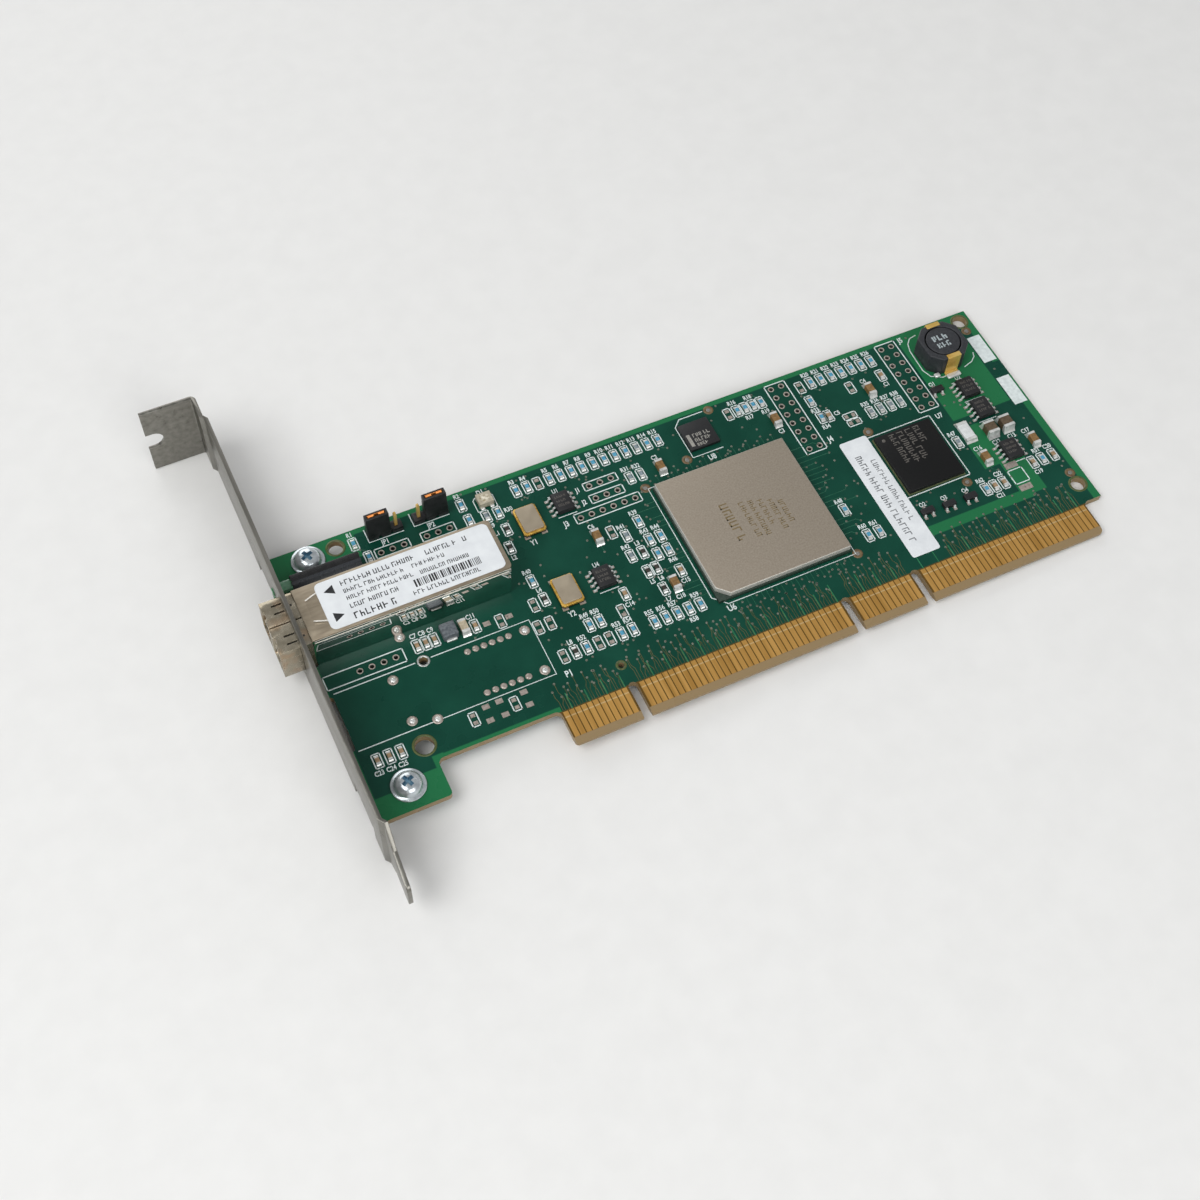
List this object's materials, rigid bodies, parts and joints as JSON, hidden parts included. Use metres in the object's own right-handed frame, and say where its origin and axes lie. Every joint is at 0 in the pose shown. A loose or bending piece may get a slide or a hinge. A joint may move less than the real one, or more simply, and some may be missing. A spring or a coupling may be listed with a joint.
{
  "type": "fibre channel adapter",
  "caption": "Host bus adapter card with a keyed edge connector, folded slot bracket, duplex optical transceiver, lidded controller, jumpers and chip parts.",
  "frame": {"origin": "centre of the bounding box in plan, at the height of the slot bracket's lower edge", "axes": "+X along the board away from the bracket, +Y from the edge connector towards the bracket's tab, +Z out of the component side"},
  "size_m": [0.181, 0.1182, 0.0184],
  "materials": {
    "solder_mask": "green solder mask on glass-epoxy laminate",
    "gold": "thin gold plating",
    "nickel_steel": "nickel-plated sheet steel",
    "zinc_steel": "bright zinc plating",
    "cover_metal": "plated sheet metal",
    "nose_metal": "die-cast, nickel plated",
    "lid_metal": "matt nickel plating",
    "tin": "bright tin",
    "copper_clip": "phosphor bronze",
    "label_paper": "white label film",
    "barrel_metal": "turned stainless steel",
    "inner_laminate": "glass-epoxy laminate",
    "black_plastic": "moulded black plastic",
    "mould_compound": "matt black moulding compound",
    "clear_plastic": "clear polycarbonate",
    "substrate_laminate": "laminate with olive solder mask",
    "oscillator_ceramic": "ceramic with plated edge",
    "cream_plastic": "cream moulded plastic",
    "lens_resin": "clear casting resin",
    "ferrite": "sintered ferrite",
    "enamel_wire": "enamelled copper wire",
    "blue_glaze": "blue overglaze on ceramic, tin ends",
    "grey_glaze": "grey overglaze on ceramic, tin ends",
    "dark_ferrite": "dark ferrite chip, tin ends",
    "tan_ceramic": "tan ceramic, tin ends",
    "brown_ceramic": "brown ceramic",
    "pale_ceramic": "pale ceramic",
    "white_ceramic": "white ceramic"
  },
  "bodies": {
    "root": {"circuit_board": "solder_mask", "edge_contacts_front": "gold", "edge_contacts_back": "gold", "bracket": "nickel_steel", "bracket_screws": "zinc_steel", "transceiver_case": "cover_metal", "transceiver_cover": "cover_metal", "transceiver_nose": "nose_metal", "transceiver_label": "label_paper", "receiver_barrel": "barrel_metal", "transmitter_barrel": "barrel_metal", "transceiver_board": "inner_laminate", "transceiver_pins": "gold", "light_guide_holder": "black_plastic", "light_guide": "clear_plastic", "header_bases": "black_plastic", "header_pins": "gold", "jumper_shunts": "black_plastic", "shunt_clips": "copper_clip", "controller_substrate": "substrate_laminate", "controller_lid": "lid_metal", "memory_chip": "mould_compound", "clock_chip": "mould_compound", "small_chip_bodies": "mould_compound", "small_chip_leads": "tin", "transistor_bodies": "mould_compound", "transistor_leads": "tin", "oscillator_bases": "oscillator_ceramic", "oscillator_lids": "lid_metal", "surface_light_base": "cream_plastic", "surface_light_lens": "lens_resin", "surface_light_leads": "tin", "inductor_ring": "ferrite", "inductor_drum": "ferrite", "inductor_winding": "enamel_wire", "inductor_terminals": "gold", "blue_resistors": "blue_glaze", "grey_resistors": "grey_glaze", "dark_beads": "dark_ferrite", "small_capacitors": "tan_ceramic", "large_capacitors": "brown_ceramic", "wide_capacitors": "brown_ceramic", "pale_capacitor": "pale_ceramic", "capacitor_caps": "tin", "sense_resistor": "white_ceramic", "sense_resistor_caps": "tin", "filter_coil": "dark_ferrite", "stock_label": "label_paper"}
  },
  "joints": []
}
